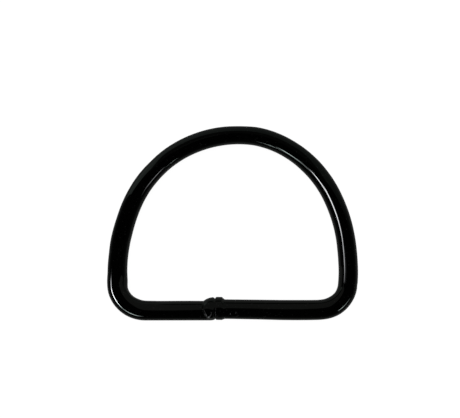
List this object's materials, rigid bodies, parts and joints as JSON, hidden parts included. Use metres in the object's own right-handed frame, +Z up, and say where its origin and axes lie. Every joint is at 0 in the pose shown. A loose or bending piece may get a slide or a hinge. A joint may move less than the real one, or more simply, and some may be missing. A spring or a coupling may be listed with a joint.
{
  "type": "d ring",
  "caption": "Flat D-shaped ring of round black-enamelled steel wire, closed by a butt weld on its straight bar, for webbing and snap hooks.",
  "frame": {"origin": "centre of the ring's footprint, at the plane it lies on", "axes": "+X along the straight bar, +Y from the bar to the crown, +Z up through the thickness of the wire"},
  "size_m": [0.059, 0.049, 0.0051],
  "materials": {
    "black_enamel": "gloss"
  },
  "bodies": {
    "root": {"ring": "black_enamel"}
  },
  "joints": []
}
